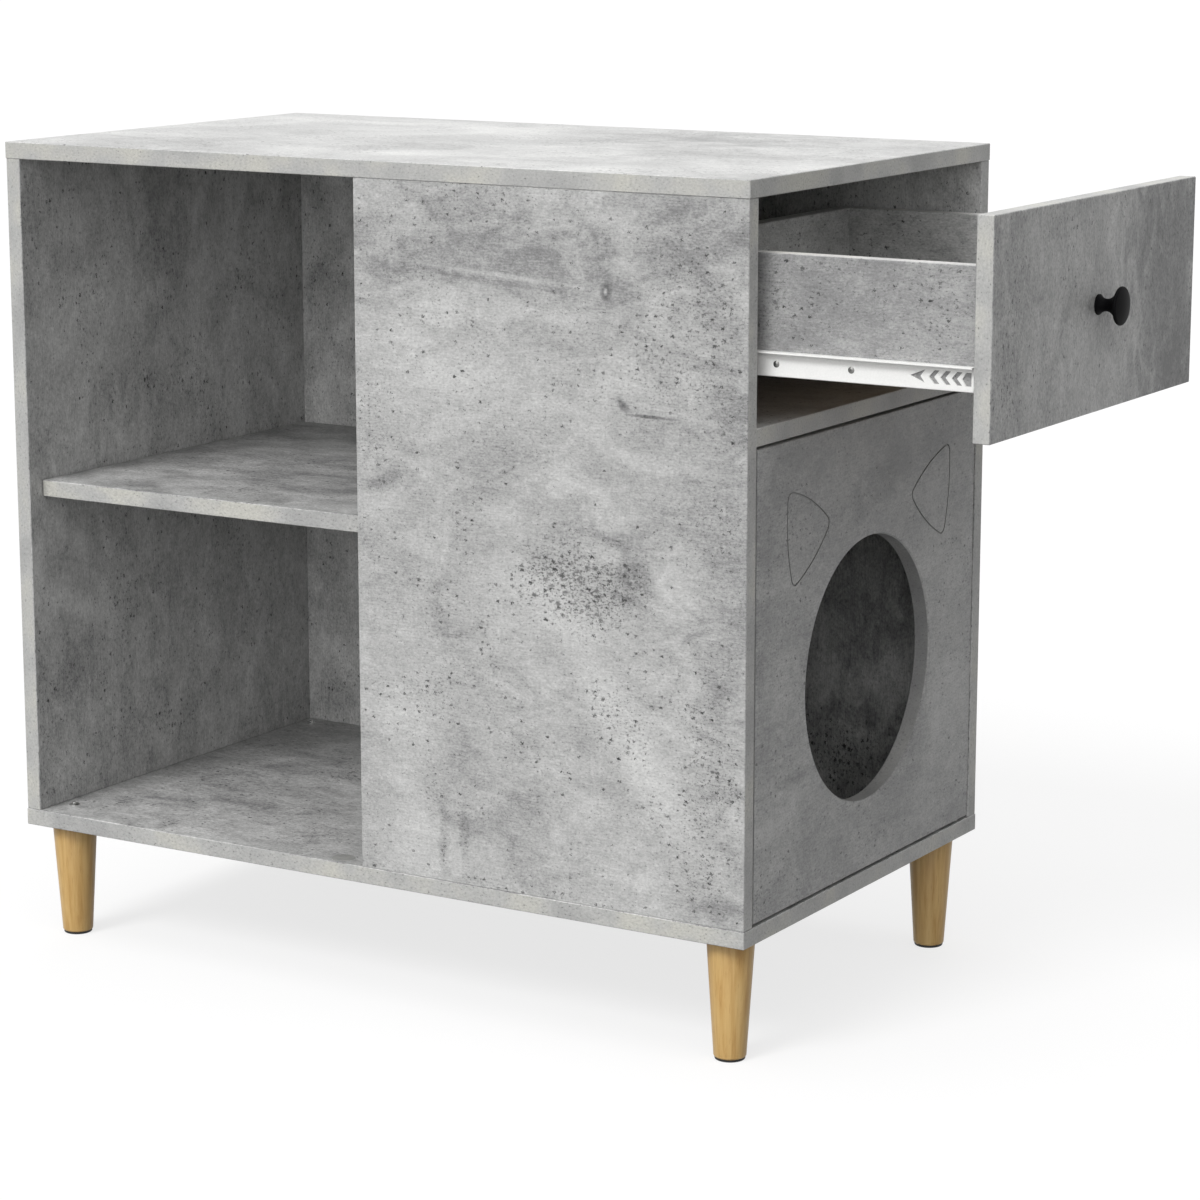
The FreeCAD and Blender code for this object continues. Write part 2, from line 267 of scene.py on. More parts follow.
def add_patches(tree, spot, noises, thin, patches, level, crowding):
    """Change tone and crowding inside ellipses that pass through the board.

    A patch is (place along the face's two axes, half sizes there, tilt, change of tone, of crowding).
    Its rim is ragged: it fades where reach + RAGGED * smear goes from PATCH_INSIDE to PATCH_OUTSIDE, and
    reach is the distance from the middle in half sizes.
    """
    for along, across, half_along, half_across, tilt, lighter, denser in patches:
        turn = np.insert([0.0, 0.0], thin, math.radians(-tilt if thin == 1 else tilt))
        inside = node(tree, "ShaderNodeMapping", {
            "Vector": spot, "Location": np.insert([along, across], thin, 0) * MM, "Rotation": turn,
            "Scale": np.insert([half_along * MM, half_across * MM], thin, ALL_THROUGH)},
            vector_type="TEXTURE").outputs[0]
        reach = node(tree, "ShaderNodeVectorMath", {0: inside}, operation="LENGTH").outputs["Value"]
        ragged = node(tree, "ShaderNodeMath", {0: noises["smear"], 1: RAGGED, 2: reach},
                      operation="MULTIPLY_ADD").outputs[0]
        cover = node(tree, "ShaderNodeMapRange", {0: ragged, 1: PATCH_OUTSIDE, 2: PATCH_INSIDE},
                     interpolation_type="SMOOTHSTEP").outputs[0]
        level = node(tree, "ShaderNodeMath", {0: cover, 1: lighter, 2: level},
                     operation="MULTIPLY_ADD").outputs[0]
        crowding = node(tree, "ShaderNodeMath", {0: cover, 1: denser, 2: crowding},
                        operation="MULTIPLY_ADD").outputs[0]
    return level, crowding


# %% Pits, from pin holes to a few millimetres
PIT_TONE = "#2a2a2a"
PIN_LIMIT, PIN_RISE, PIN_SOFTNESS, PIN_DARKEST = 0.312, 0.13, 0.06, 0.7
# Width of a cell, narrowest and widest pit radius in mm, and the share of the crowding for each size
PIT_SIZES = ((4.8, 0.3, 1.4, 1.0), (2.2, 0.22, 0.6, 0.7))
BEND_SIZE, BEND_REACH = 1.5, 4
PIT_SQUEEZE = 0.6
CROWDED, SHRUNK, SWOLLEN = 0.8, 0.7, 1.3
RIM_OUTSIDE, RIM_INSIDE = 0.1, 0.5
PALEST_PIT = 0.55


def pin_holes(tree, noises, crowding):
    """Darkness of the finest pits, where the sand noise is below PIN_LIMIT + PIN_RISE * crowding."""
    limit = node(tree, "ShaderNodeMath", {0: crowding, 1: PIN_RISE, 2: PIN_LIMIT},
                 operation="MULTIPLY_ADD").outputs[0]
    below = node(tree, "ShaderNodeMath", {0: limit, 1: noises["sand"]}, operation="SUBTRACT").outputs[0]
    return node(tree, "ShaderNodeMapRange",
                {0: below, 1: 0.0, 2: PIN_SOFTNESS, 3: 0.0, 4: PIN_DARKEST}).outputs[0]


def bent_places(tree, laid):
    """Place plus a noise of up to BEND_REACH mm, which bends outlines, squeezed to draw the pits long."""
    bend = node(tree, "ShaderNodeTexNoise", {"Vector": laid, "Scale": per_metre(BEND_SIZE), "Detail": 1},
                noise_dimensions="2D").outputs["Color"]
    offset = node(tree, "ShaderNodeVectorMath", {0: bend, 1: (BEND_REACH * MM,) * 3},
                  operation="MULTIPLY").outputs[0]
    bent = node(tree, "ShaderNodeVectorMath", {0: laid, 1: offset}, operation="ADD").outputs[0]
    return node(tree, "ShaderNodeVectorMath", {0: bent, 1: (PIT_SQUEEZE, 1, 1)},
                operation="MULTIPLY").outputs[0]


def add_round_pits(tree, laid, crowding, pits):
    """Darken discs round the centres of a cell pattern, in the share of cells that crowding gives.

    A cell's three random values decide whether it opens, its radius and how dark it is. Pits are wider
    where they crowd, and the rim fades from RIM_OUTSIDE mm outside the radius to RIM_INSIDE mm inside it.
    """
    place = bent_places(tree, laid)
    spread = node(tree, "ShaderNodeMapRange",
                  {0: crowding, 1: 0.0, 2: CROWDED, 3: SHRUNK, 4: SWOLLEN}).outputs[0]
    for cell, narrowest, widest, plenty in PIT_SIZES:
        bare = node(tree, "ShaderNodeMath", {0: crowding, 1: -plenty, 2: 1.0},
                    operation="MULTIPLY_ADD").outputs[0]
        cells = node(tree, "ShaderNodeTexVoronoi", {"Vector": place, "Scale": per_metre(cell)},
                     voronoi_dimensions="2D")
        luck = node(tree, "ShaderNodeSeparateColor", {0: cells.outputs["Color"]}).outputs
        opens = node(tree, "ShaderNodeMath", {0: luck[0], 1: bare}, operation="GREATER_THAN").outputs[0]
        radius = node(tree, "ShaderNodeMapRange",
                      {0: luck[1], 3: narrowest / cell, 4: widest / cell}).outputs[0]
        radius = node(tree, "ShaderNodeMath", {0: radius, 1: spread}, operation="MULTIPLY").outputs[0]
        depth = node(tree, "ShaderNodeMath", {0: radius, 1: cells.outputs["Distance"]},
                     operation="SUBTRACT").outputs[0]
        dark = node(tree, "ShaderNodeMapRange",
                    {0: depth, 1: -RIM_OUTSIDE / cell, 2: RIM_INSIDE / cell}).outputs[0]
        deep = node(tree, "ShaderNodeMapRange", {0: luck[2], 3: PALEST_PIT, 4: 1.0}).outputs[0]
        for share in (deep, opens):
            dark = node(tree, "ShaderNodeMath", {0: dark, 1: share}, operation="MULTIPLY").outputs[0]
        pits = node(tree, "ShaderNodeMath", {0: dark, 1: pits}, operation="MAXIMUM").outputs[0]
    return pits


# %% [markdown]
# ## Edge bands and engraved lines
# The cut edges of a board carry a plastic band with a print of its own, plainer than the face. It is
# darker round the cat hole. On the drawer box the band is painted paler: painted light for the light on
# the top edges of its boards. The cat's ears are cut into the door's face as fine grooves, which look
# darker than the print.

# %% Colours of the bands and grooves, and where they lie
EDGE_TONES = [(0.35, "#a3a3a2"), (0.5, "#b2b2b0"), (0.65, "#bebdb6")]
# Painted light: the drawer box's band is paler for the light on its top edges
PAINTED_LIGHT_EDGE_TONES = [(0.35, "#bfbfbd"), (0.5, "#cecdcb"), (0.65, "#d8d7d1")]
RIM_TONES = [(0.35, "#989898"), (0.5, "#a5a5a4"), (0.65, "#b2b2b0")]
GROOVE_TONE = "#7c7c7b"
GRIT_DARK, GRIT_LIGHT = 0.84, 1.14
SPECK_FROM, SPECK_FULL, SPECK_DARKEST = 0.36, 0.3, 0.5
FACE_LIMIT = 0.7


def edge_band(tree, noises, tones):
    """Band colour: tones by the crowding noise, times the sand's grit, with specks where sand is low."""
    band = node(tree, "ShaderNodeValToRGB", {0: noises["crowd"]}, stops=tones).outputs[0]
    grit = node(tree, "ShaderNodeMapRange", {
        0: noises["sand"], 1: NOISE_LOW, 2: NOISE_HIGH, 3: GRIT_DARK, 4: GRIT_LIGHT}).outputs[0]
    band = node(tree, "ShaderNodeVectorMath", {0: band, 1: grit}, operation="MULTIPLY").outputs[0]
    specks = node(tree, "ShaderNodeMapRange", {
        0: noises["sand"], 1: SPECK_FROM, 2: SPECK_FULL, 3: 0.0, 4: SPECK_DARKEST}).outputs[0]
    return node(tree, "ShaderNodeMix", {0: specks, 6: band, 7: linear(PIT_TONE)},
                data_type="RGBA").outputs[2]


def on_edge(tree, normal, thin):
    """1 where the normal's share along the axis through the board is under FACE_LIMIT, else 0."""
    facing = node(tree, "ShaderNodeSeparateXYZ", {0: normal}).outputs[thin]
    facing = node(tree, "ShaderNodeMath", {0: facing}, operation="ABSOLUTE").outputs[0]
    return node(tree, "ShaderNodeMath", {0: facing, 1: FACE_LIMIT}, operation="LESS_THAN").outputs[0]


def in_grooves(tree, spot, middle, half):
    """1 in a box and its mirror images, where the largest of |(|place| - middle) / half| is under 1."""
    mirrored = node(tree, "ShaderNodeVectorMath", {0: spot}, operation="ABSOLUTE").outputs[0]
    inside = node(tree, "ShaderNodeMapping", {"Vector": mirrored, "Location": middle, "Scale": half},
                  vector_type="TEXTURE").outputs[0]
    inside = node(tree, "ShaderNodeVectorMath", {0: inside}, operation="ABSOLUTE").outputs[0]
    sides = node(tree, "ShaderNodeSeparateXYZ", {0: inside}).outputs
    furthest = node(tree, "ShaderNodeMath", {0: sides[0], 1: sides[1]}, operation="MAXIMUM").outputs[0]
    furthest = node(tree, "ShaderNodeMath", {0: furthest, 1: sides[2]}, operation="MAXIMUM").outputs[0]
    return node(tree, "ShaderNodeMath", {0: furthest, 1: 1.0}, operation="LESS_THAN").outputs[0]


# %% Melamine with a concrete print
RESIN_GLOSS = (0.4, 0.52)
RESIN_IOR = 1.47
RESIN_RELIEF = 0.15


def concrete_melamine(name, thin, grain, shift, cloudy, worn, painted_light_lift, patches=(), engraved=None,
                      edge_tones=EDGE_TONES):
    """Printed board. thin is the number of the axis through it, grain the axis that the smears follow.

    shift picks the board's stretch of the print, cloudy and worn are the swing of the clouds and of the
    finer noises, and lift is added to the tone: it paints light on the board above 0 and shade below 0.
    To the eye it is a dull grey stone with a satin skin.
    """
    finish, tree, shader = blank(name)
    place = node(tree, "ShaderNodeTexCoord")
    spot = place.outputs["Object"]
    laid = node(tree, "ShaderNodeMapping",
                {"Vector": spot, "Location": shift, "Rotation": LAY_PRINT[thin, grain]}).outputs[0]
    noises = print_noises(tree, laid)
    level, crowding = tone_and_crowding(tree, noises, cloudy, worn, painted_light_lift)
    level, crowding = add_patches(tree, spot, noises, thin, patches, level, crowding)
    grey = node(tree, "ShaderNodeValToRGB", {0: level}, stops=CONCRETE_TONES).outputs[0]
    pits = add_round_pits(tree, laid, crowding, pin_holes(tree, noises, crowding))
    face = node(tree, "ShaderNodeMix", {0: pits, 6: grey, 7: linear(PIT_TONE)},
                data_type="RGBA").outputs[2]
    edge = on_edge(tree, place.outputs["Normal"], thin)
    band = edge_band(tree, noises, edge_tones)
    colour = node(tree, "ShaderNodeMix", {0: edge, 6: face, 7: band}, data_type="RGBA").outputs[2]
    if engraved:
        grooves = in_grooves(tree, spot, *(np.array(engraved) * MM))
        colour = node(tree, "ShaderNodeMix", {0: grooves, 6: colour, 7: linear(GROOVE_TONE)},
                      data_type="RGBA").outputs[2]
    rough = node(tree, "ShaderNodeMapRange", {
        0: noises["smear"], 1: NOISE_LOW, 2: NOISE_HIGH, 3: RESIN_GLOSS[0], 4: RESIN_GLOSS[1]}).outputs[0]
    bump = node(tree, "ShaderNodeBump", {
        "Strength": RESIN_RELIEF, "Distance": RELIEF_DEPTH, "Height": noises["sand"]}).outputs[0]
    for key, value in {"Base Color": colour, "Roughness": rough, "Normal": bump}.items():
        tree.links.new(value, shader.inputs[key])
    shader.inputs["IOR"].default_value = RESIN_IOR
    return finish


def dress(name, finish):
    """Give a solid of the frame its finish, in place of the plain one that it came with."""
    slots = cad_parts[name].data.materials
    slots.clear()
    slots.append(finish)


# %% Patches that the photograph shows
# Each row has the place along the face's two axes and the half sizes there in mm, the tilt in degrees,
# the change of tone and the change of crowding
FRONT_PATCHES = [
    # Wiped, pale zones
    (60, 565, 56, 60, 0, 0.08, 0.0),
    (185, 550, 80, 42, -15, 0.1, -0.1),
    (190, 375, 88, 32, -15, 0.16, 0.1),
    (272, 270, 118, 28, -54, 0.2, 0.05),
    (60, 150, 46, 46, 0, 0.14, 0.0),
    (270, 140, 50, 46, 0, 0.13, 0.0),
    (45, 260, 52, 70, 0, 0.14, 0.0),
    # The main cluster of pits, and the shade beside it
    (225, 402, 82, 38, -5, 0.0, 0.74),
    (280, 412, 30, 36, 20, -0.14, 0.12),
    # Darker zones at the right, along the top and in the middle
    (362, 440, 44, 240, 0, -0.09, 0.1),
    (170, 180, 40, 60, 0, -0.06, 0.0),
    (110, 665, 150, 52, 0, -0.16, -0.05),
    (310, 680, 100, 60, 0, -0.14, 0.0),
    (120, 470, 60, 40, 30, -0.05, 0.0),
    # Loose pits
    (345, 230, 40, 120, 0, 0.0, 0.42),
    (320, 610, 66, 96, 0, 0.0, 0.32),
    (262, 280, 36, 60, 20, 0.0, 0.25),
    # Dark strokes
    (85, 152, 7, 45, 0, -0.16, 0.3),
    (106, 160, 6, 40, 0, -0.12, 0.25),
    (25, 465, 26, 9, 30, -0.14, 0.25),
    # A ridge, a ring, a nick and a scratch
    (150, 648, 95, 3, -4, 0.17, 0.0),
    (150, 642, 95, 2.5, -4, -0.1, 0.0),
    (247, 641, 6, 8, 0, -0.4, 0.0),
    (247, 641, 2.2, 3.5, 0, 0.55, 0.0),
    (263, 550, 9, 4.5, -50, -0.42, 0.0),
    (289, 542, 26, 1.6, -1, -0.3, 0.0),
]
TOP_PATCHES = [
    (-190, 110, 180, 110, 0, 0.1, 0.0),
    (-60, 130, 60, 90, 30, 0.08, 0.0),
    (150, 130, 130, 100, 0, -0.16, 0.0),
    (230, 10, 160, 100, 0, -0.08, 0.0),
    (-10, -140, 70, 50, 0, 0.12, 0.0),
    (-110, -160, 50, 40, 0, 0.1, 0.0),
    (225, -180, 40, 40, 0, 0.14, 0.0),
    (-250, -120, 90, 60, 0, -0.08, 0.2),
]
DRAWER_FRONT_PATCHES = [
    (160, 630, 120, 220, 0, -0.33, 0.1),
    (-60, 640, 110, 90, 0, 0.06, 0.0),
    (-170, 600, 30, 70, 0, -0.03, 0.3),
    (30, 580, 40, 22, 0, 0.1, 0.0),
]
DOOR_PATCHES = [
    (-145, 233, 60, 7, 3, -0.2, 0.0),
    (150, 250, 55, 60, 0, 0.14, 0.0),
    (60, 470, 130, 26, 8, -0.12, 0.0),
    (-150, 330, 40, 60, 0, 0.06, 0.0),
    (-140, 470, 45, 30, 0, 0.0, 0.3),
    (140, 345, 45, 16, 10, 0.05, 0.3),
]
LEFT_PRINT_AND_PAINTED_LIGHT_PATCHES = [
    # Pale zones near the front edge: painted light falling in at the bay's opening, partly the print's
    # clouds. The pale diagonal streak under the shelf is painted light too.
    (-130, 600, 75, 90, 0, 0.1, 0.0),
    (-85, 540, 40, 26, 20, 0.14, 0.0),
    (-155, 305, 66, 17, -22, 0.22, 0.0),
    (-175, 155, 40, 28, 0, 0.12, 0.0),
    (-20, 500, 80, 22, 0, -0.05, 0.35),
    (-60, 175, 70, 26, -15, 0.0, 0.3),
]
BACK_PRINT_AND_PAINTED_SHADE_PATCHES = [
    # Darker, with fewer pits, behind the cat door: painted shade of the closed compartment seen through the
    # hole
    (260, 340, 150, 190, 0, -0.3, -0.35),
    (240, 165, 90, 50, 0, -0.08, 0.5),
]
BASE_PATCHES = [
    (240, 130, 100, 80, 0, -0.1, 0.5),
    (-190, 40, 50, 60, 60, -0.04, 0.4),
    (-210, -70, 60, 35, 0, 0.08, 0.0),
    (-160, -130, 50, 14, 0, -0.04, 0.2),
    (-300, -150, 40, 16, 20, -0.08, 0.2),
]
DRAWER_SIDE_PATCHES = [
    (545, 650, 60, 40, 0, 0.05, 0.25),
    (450, 630, 80, 60, 0, -0.02, 0.05),
]

# %% Boards, each with its own stretch of the print
# Middle and half sizes in mm of the box round the grooves of one ear
EAR_GROOVES = ((378.8, 114, 438.5), (0.5, 42, 44))
# The lift of each board is painted light and shade on one print: lighter on the top, the deck under the
# drawer, the back, the left side and the drawer's inside, darker on the cat door and the drawer's front and
# near side
BOARDS = {
    "top_panel": dict(
        thin=2, grain="X", shift=(3.1, 0.4, 7.7), cloudy=0.7, worn=1.0, painted_light_lift=0.15, patches=TOP_PATCHES),
    "bottom_panel": dict(
        thin=2, grain="X", shift=(5.3, 2.6, 1.2), cloudy=0.6, worn=1.35, painted_light_lift=0.03, patches=BASE_PATCHES),
    "left_side_panel": dict(
        thin=0, grain="Z", shift=(0.7, 6.1, 4.3), cloudy=0.6, worn=1.35, painted_light_lift=0.09, patches=LEFT_PRINT_AND_PAINTED_LIGHT_PATCHES),
    "front_panel": dict(
        thin=1, grain="X", shift=(2.2, 9.4, 3.6), cloudy=0.3, worn=1.15, painted_light_lift=0.03, patches=FRONT_PATCHES),
    "back_panel": dict(
        thin=1, grain="Z", shift=(8.8, 1.7, 6.4), cloudy=0.6, worn=1.5, painted_light_lift=0.15, patches=BACK_PRINT_AND_PAINTED_SHADE_PATCHES),
    "centre_divider": dict(thin=0, grain="Z", shift=(4.9, 3.3, 9.1), cloudy=0.5, worn=1.2, painted_light_lift=0.02),
    "drawer_deck": dict(thin=2, grain="X", shift=(1.4, 7.2, 2.9), cloudy=0.6, worn=1.2, painted_light_lift=0.4),
    "shelf": dict(thin=2, grain="X", shift=(6.6, 5.5, 0.8), cloudy=0.7, worn=1.5, painted_light_lift=-0.02),
    "drawer_front": dict(
        thin=0, grain="Z", shift=(9.7, 8.3, 5.2), cloudy=0.6, worn=1.5, painted_light_lift=-0.05,
        patches=DRAWER_FRONT_PATCHES),
    "drawer_back": dict(
        thin=0, grain="Y", shift=(2.7, 4.6, 8.5), cloudy=0.6, worn=1.3, painted_light_lift=0.1,
        edge_tones=PAINTED_LIGHT_EDGE_TONES),
    "drawer_side_front": dict(
        thin=1, grain="X", shift=(7.4, 0.9, 1.9), cloudy=0.35, worn=0.85, painted_light_lift=-0.17,
        patches=DRAWER_SIDE_PATCHES, edge_tones=PAINTED_LIGHT_EDGE_TONES),
    "drawer_side_back": dict(
        thin=1, grain="X", shift=(3.8, 6.8, 7.1), cloudy=0.6, worn=1.3, painted_light_lift=0.1,
        edge_tones=PAINTED_LIGHT_EDGE_TONES),
    "cat_door": dict(
        thin=0, grain="Y", shift=(5.9, 9.9, 4.7), cloudy=0.6, worn=1.15, painted_light_lift=-0.08,
        patches=DOOR_PATCHES, engraved=EAR_GROOVES, edge_tones=RIM_TONES),
}
for name, print_facts in BOARDS.items():
    dress(name, concrete_melamine("concrete_melamine_" + name, **print_facts))
print("boards dressed:", len(BOARDS))

# %% [markdown]
# ## Coated and moulded finishes
# The runners are steel with a white epoxy coat, which dries with a fine orange peel. The knob has a
# matt black coat, the rollers are nylon, the fasteners are zinc-plated, and the catch is moulded
# plastic. Each has one noise for its unevenness, so the colour, gloss and relief never look flat. The
# drawer's bottom is thin hardboard, with grey paper above and bare brown fibre below.


# %% One noise, three uses
def fine_finish(name, dark, light, grain_mm, gloss, relief, metal=0.0, ior=1.5, shine=0.5):
    """A noise of one grain size sets colour between two tones, roughness between two values, and relief.

    A metal keeps the shader's own index of refraction.
    """
    finish, tree, shader = blank(name)
    spot = node(tree, "ShaderNodeTexCoord").outputs["Object"]
    grain = node(tree, "ShaderNodeTexNoise",
                 {"Vector": spot, "Scale": per_metre(grain_mm), "Detail": 4, "Roughness": 0.6}).outputs[0]
    colour = node(tree, "ShaderNodeValToRGB", {0: grain},
                  stops=[(NOISE_LOW, dark), (NOISE_HIGH, light)]).outputs[0]
    rough = node(tree, "ShaderNodeMapRange", {
        0: grain, 1: NOISE_LOW, 2: NOISE_HIGH, 3: gloss[0], 4: gloss[1]}).outputs[0]
    bump = node(tree, "ShaderNodeBump",
                {"Strength": relief, "Distance": RELIEF_DEPTH, "Height": grain}).outputs[0]
    for key, value in {"Base Color": colour, "Roughness": rough, "Normal": bump}.items():
        tree.links.new(value, shader.inputs[key])
    shader.inputs["Metallic"].default_value = metal
    shader.inputs["Specular IOR Level"].default_value = shine
    if not metal:
        shader.inputs["IOR"].default_value = ior
    return finish


# %% Coats, plastics and metals
# Epoxy gives a clean white with a soft sheen, and its orange peel breaks up the highlights
white_epoxy = fine_finish("white_epoxy_on_steel", "#efefed", "#f6f6f4", 1.6, (0.30, 0.42), 0.3)
# Powder coat gives almost no mirror, so the knob reads as one dark shape with a faint light on its rim
black_coat = fine_finish(
    "matt_black_powder_coat", "#08080a", "#0f0f10", 0.5, (0.45, 0.6), 0.15, shine=0.04)
# Nylon gives a warmer, waxy white beside the cool white of the runners
nylon = fine_finish("natural_nylon", "#dcdbd4", "#e9e8e2", 2.0, (0.38, 0.48), 0.2, ior=1.53)
# Zinc plating gives small grey heads with softened glints
zinc = fine_finish("zinc_plated_steel", "#b9b9b6", "#d3d3d1", 0.8, (0.3, 0.42), 0.25, metal=1.0)
# Bright zinc gives the domes of the leg bolts a sharp glint
bright_zinc = fine_finish(
    "bright_zinc_plated_steel", "#dededc", "#ececea", 0.8, (0.12, 0.2), 0.2, metal=1.0)
# Hard rubber gives a dull dark line under each leg
pad_rubber = fine_finish("black_hard_rubber", "#0b0b0b", "#161515", 0.6, (0.5, 0.7), 0.5, ior=1.52)
# Moulded plastic gives an even off-white with a plain sheen
catch_abs = fine_finish("white_moulded_abs", "#dededb", "#eaeae8", 0.7, (0.34, 0.45), 0.3, ior=1.54)
# Ferrite gives a dull, grainy near-black
ferrite = fine_finish("sintered_ferrite", "#1c1c1d", "#343434", 0.4, (0.55, 0.7), 0.6)
# Vinyl gives a grey that is plainer and a little glossier than the board that it sticks to
cover_vinyl = fine_finish("printed_vinyl_cover", "#868684", "#9b9b98", 2.2, (0.36, 0.46), 0.2, ior=1.52)
# Dull nickel gives darker heads, which stand out from the white runners
dull_nickel = fine_finish(
    "dull_nickel_plated_steel", "#6e6e6c", "#8a8a88", 0.8, (0.3, 0.45), 0.25, metal=1.0)
print("materials so far:", len(bpy.data.materials))

# %% Hardboard of the drawer's bottom
# Hardboard gives a felted matt surface, grey inside the drawer and a warm brown seen from below
FELT_SIZE, FACES_UP = 1.2, 0.5
PAPER_TONES = [(NOISE_LOW, "#8e8e8c"), (NOISE_HIGH, "#a9a9a6")]
BARE_TONES = [(NOISE_LOW, "#8f7860"), (NOISE_HIGH, "#b09a80")]
HARDBOARD_ROUGHNESS = 0.56
hardboard, tree, shader = blank("paper_faced_hardboard")
place = node(tree, "ShaderNodeTexCoord")
felt = node(tree, "ShaderNodeTexNoise", {
    "Vector": place.outputs["Object"], "Scale": per_metre(FELT_SIZE), "Detail": 4,
    "Roughness": 0.6}).outputs[0]
bare = node(tree, "ShaderNodeValToRGB", {0: felt}, stops=BARE_TONES).outputs[0]
paper = node(tree, "ShaderNodeValToRGB", {0: felt}, stops=PAPER_TONES).outputs[0]
upward = node(tree, "ShaderNodeSeparateXYZ", {0: place.outputs["Normal"]}).outputs["Z"]
on_top = node(tree, "ShaderNodeMath", {0: upward, 1: FACES_UP}, operation="GREATER_THAN").outputs[0]
board_colour = node(tree, "ShaderNodeMix", {0: on_top, 6: bare, 7: paper}, data_type="RGBA").outputs[2]
tree.links.new(board_colour, shader.inputs["Base Color"])
shader.inputs["Roughness"].default_value = HARDBOARD_ROUGHNESS
print("finish made:", hardboard.name)

# %% Fittings that keep the shape of their solids
PLAIN_FINISHES = {
    "drawer_runner_front": white_epoxy, "drawer_runner_back": white_epoxy,
    "cabinet_runner_front": white_epoxy, "cabinet_runner_back": white_epoxy,
    "drawer_bottom": hardboard, "shelf_plugs": catch_abs, "magnetic_catch": catch_abs,
    "catch_magnet": ferrite, "catch_poles": zinc, "strike_plate": zinc, "pivot_pins": zinc,
    "pivot_bushes": nylon,
}
for name, finish in PLAIN_FINISHES.items():
    dress(name, finish)
print("fittings dressed:", len(PLAIN_FINISHES))

# %% [markdown]
# ## Turned legs
# Each leg is a cone of pale lacquered wood with a softened foot, standing on a thin black pad. Wood
# grain runs along a leg whatever way it faces, so each leg stores its own place as an attribute, a
# little shifted so that no two legs match, and the wood reads that in place of the object's coordinates.

# %% Lacquered wood
# Lacquer gives a honey tone with long fibres, and a satin that softens the light down each leg.
# Real pores are too fine to show in the render, so they are drawn wider here.
FIBRE_SIZE, FIBRE_SQUEEZE = 5, 0.05
PORE_SIZE, PORE_SQUEEZE = 0.9, 0.03
PORE_FROM, PORE_FULL, PORE_DARKEST, PORE_TONE = 0.62, 0.72, 0.35, "#94692f"
WOOD_TONES = [(0.25, "#a97f44"), (0.45, "#bf9a5e"), (0.6, "#caa86d"), (0.8, "#d4b680")]
LACQUER_GLOSS = (0.42, 0.34)
FIBRE_RELIEF, FIBRE_DEPTH = 0.2, 0.1 * MM
lacquered_wood, tree, shader = blank("lacquered_rubberwood")
leg_place = node(tree, "ShaderNodeAttribute", attribute_name="turned_place").outputs["Vector"]
fibre_at = node(tree, "ShaderNodeVectorMath", {0: leg_place, 1: (1, 1, FIBRE_SQUEEZE)},
                operation="MULTIPLY").outputs[0]
fibre = node(tree, "ShaderNodeTexNoise", {
    "Vector": fibre_at, "Scale": per_metre(FIBRE_SIZE), "Detail": 6, "Roughness": 0.6,
    "Distortion": 0.4}).outputs[0]
wood_tone = node(tree, "ShaderNodeValToRGB", {0: fibre}, stops=WOOD_TONES).outputs[0]
pore_at = node(tree, "ShaderNodeVectorMath", {0: leg_place, 1: (1, 1, PORE_SQUEEZE)},
               operation="MULTIPLY").outputs[0]
pore = node(tree, "ShaderNodeTexNoise",
            {"Vector": pore_at, "Scale": per_metre(PORE_SIZE), "Detail": 2}).outputs[0]
pore_dark = node(tree, "ShaderNodeMapRange",
                 {0: pore, 1: PORE_FROM, 2: PORE_FULL, 3: 0.0, 4: PORE_DARKEST}).outputs[0]
wood_colour = node(tree, "ShaderNodeMix", {0: pore_dark, 6: wood_tone, 7: linear(PORE_TONE)},
                   data_type="RGBA").outputs[2]
wood_rough = node(tree, "ShaderNodeMapRange", {
    0: fibre, 1: NOISE_LOW, 2: NOISE_HIGH, 3: LACQUER_GLOSS[0], 4: LACQUER_GLOSS[1]}).outputs[0]
wood_bump = node(tree, "ShaderNodeBump",
                 {"Strength": FIBRE_RELIEF, "Distance": FIBRE_DEPTH, "Height": fibre}).outputs[0]
for key, value in {"Base Color": wood_colour, "Roughness": wood_rough, "Normal": wood_bump}.items():
    tree.links.new(value, shader.inputs[key])
print("finish made:", lacquered_wood.name)

# %% Outlines of legs and pads
LEG_TOP, LEG_FOOT, LEG_HEIGHT, FOOT_ROUND, LEG_SLOPE = 21.0, 14.0, 105.0, 2.2, 4
PAD_RADIUS, PAD_HEIGHT, PAD_ROUND = 13.0, 2.0, 1.2
EASED_TOP = [(LEG_TOP - 0.4, LEG_HEIGHT - 0.5), (LEG_TOP - 0.6, LEG_HEIGHT)]
leg_profile = np.concatenate([
    [(0, 0), (LEG_FOOT - FOOT_ROUND, 0)],
    arc((LEG_FOOT - FOOT_ROUND, FOOT_ROUND), FOOT_ROUND, -90, LEG_SLOPE),
    EASED_TOP, [(0, LEG_HEIGHT)],
])
pad_profile = np.concatenate([
    [(0, 0)],
    arc((PAD_RADIUS - PAD_ROUND, PAD_ROUND), PAD_ROUND, -90, 0),
    [(PAD_RADIUS, PAD_HEIGHT), (0, PAD_HEIGHT)],
])
print("rows in the outlines of a leg and a pad:", len(leg_profile), len(pad_profile))

# %% Screws with a dome and a recess
RIM_SHARE, DOME_START, TIP_SHARE = 0.25, 0.45, 0.3
RECESS_TOP = 0.05


def hexagon(across):
    """Radius of a hexagon at each angle: half its width over the cosine of the angle from its flat."""
    return lambda angle: across / 2 / np.cos((angle + np.pi / 6) % (np.pi / 3) - np.pi / 6)


def cross(core, reach):
    """Radius of a cross recess: a core with four lobes, the cosine of twice the angle to the power 6."""
    return lambda angle: core + reach * np.abs(np.cos(2 * angle)) ** 6


